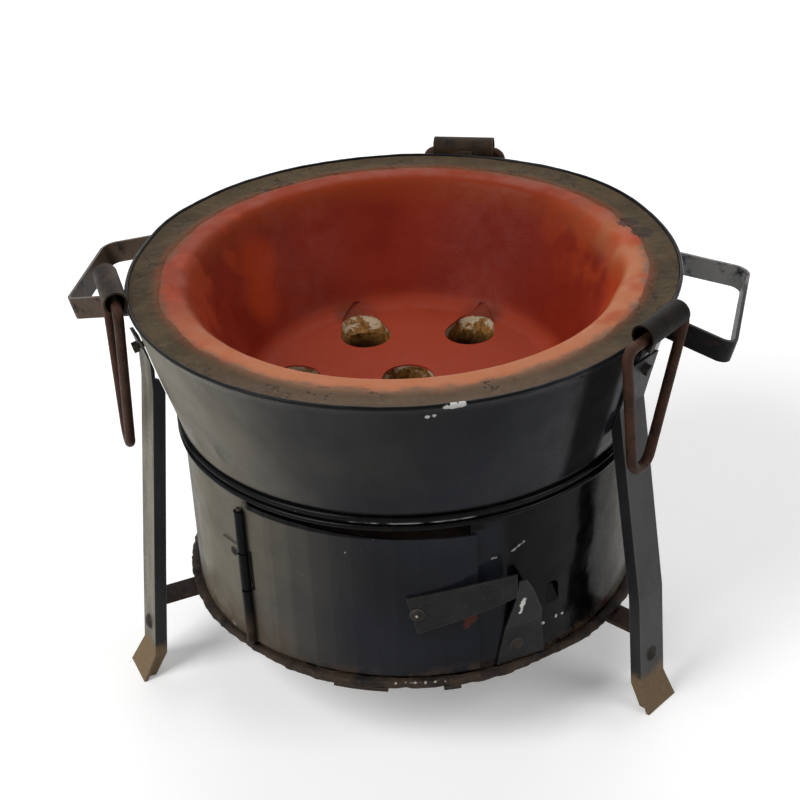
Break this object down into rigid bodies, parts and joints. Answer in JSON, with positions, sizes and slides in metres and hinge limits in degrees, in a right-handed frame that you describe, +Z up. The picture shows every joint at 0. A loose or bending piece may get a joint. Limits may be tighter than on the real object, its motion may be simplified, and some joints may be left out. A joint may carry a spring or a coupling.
{
  "type": "charcoal brazier",
  "caption": "Portable charcoal brazier with a clay fire bowl, a flared steel shell on channel legs, strap handles, swinging pot rests and a latched ash door.",
  "frame": {"origin": "middle of the whole outline, on the ground that the three feet stand on; the drum's axis stands 2.2 mm to -X and 7.9 mm to -Y of it", "axes": "+Z up, -Y towards the ash door's side, +X towards the right handle"},
  "size_m": [0.3814, 0.3137, 0.2437],
  "materials": {
    "enamel": "gloss, scuffed",
    "brown_steel": "dull, rusted",
    "sheet_steel": "dull",
    "clay": "matte, fired",
    "cement": "matte, smeared",
    "ash_fill": "matte, loose",
    "wire": "dull",
    "olive_paint": "satin, chipped",
    "leg_paint": "satin, scuffed",
    "rusty_steel": "dull, rusted",
    "tube_steel": "satin, worn",
    "rusty_rod": "dull, rusted",
    "black_strap": "satin, worn",
    "fastener": "dull"
  },
  "bodies": {
    "stove": {"lower_shell": "enamel", "base_plate": "brown_steel", "base_tabs": "brown_steel", "upper_shell": "enamel", "seat_ring": "sheet_steel", "clay_liner": "clay", "rim_cement": "cement", "ash_insulation": "ash_fill", "leg_back": "leg_paint", "leg_left": "leg_paint", "leg_right": "leg_paint", "strut_back": "rusty_steel", "strut_left": "rusty_steel", "strut_right": "rusty_steel", "rest_tube_back": "tube_steel", "rest_tube_left": "tube_steel", "rest_tube_right": "tube_steel", "handle_left": "black_strap", "handle_right": "black_strap", "hinge_leaf": "enamel", "hinge_pin": "wire", "hinge_rivet": "fastener", "keeper_strap": "olive_paint", "keeper_rivet": "fastener", "leg_bolts": "fastener", "leg_nuts": "fastener", "tail_bolts": "fastener", "strut_rivets": "fastener", "base_rivets": "fastener", "handle_rivets": "fastener"},
    "rest_back": {"pot_rest_back": "rusty_rod"},
    "rest_left": {"pot_rest_left": "rusty_rod"},
    "rest_right": {"pot_rest_right": "rusty_rod"},
    "door": {"ash_door": "enamel", "latch_rivet": "fastener"},
    "latch": {"latch_strap": "olive_paint"}
  },
  "joints": [
    {"name": "rest_back_swing", "type": "hinge", "parent": "stove", "child": "rest_back", "pos_m": [0.03824, 0.14304, 0.23036], "axis": [0.9848, -0.1736, 0], "range_deg": [0, 230]},
    {"name": "rest_left_swing", "type": "hinge", "parent": "stove", "child": "rest_left", "pos_m": [-0.15632, -0.02819, 0.23303], "axis": [-0.2672, 0.9636, 0], "range_deg": [0, 245]},
    {"name": "rest_right_swing", "type": "hinge", "parent": "stove", "child": "rest_right", "pos_m": [0.12315, -0.09764, 0.23476], "axis": [-0.6508, -0.7593, 0], "range_deg": [0, 255]},
    {"name": "door_hinge", "type": "hinge", "parent": "stove", "child": "door", "pos_m": [-0.0932, -0.10018, 0.095], "axis": [0, 0, -1], "range_deg": [0, 110]},
    {"name": "latch_turn", "type": "hinge", "parent": "door", "child": "latch", "pos_m": [-0.00332, -0.13589, 0.0956], "axis": [-0.0087, -1, 0], "range_deg": [0, 35]}
  ]
}
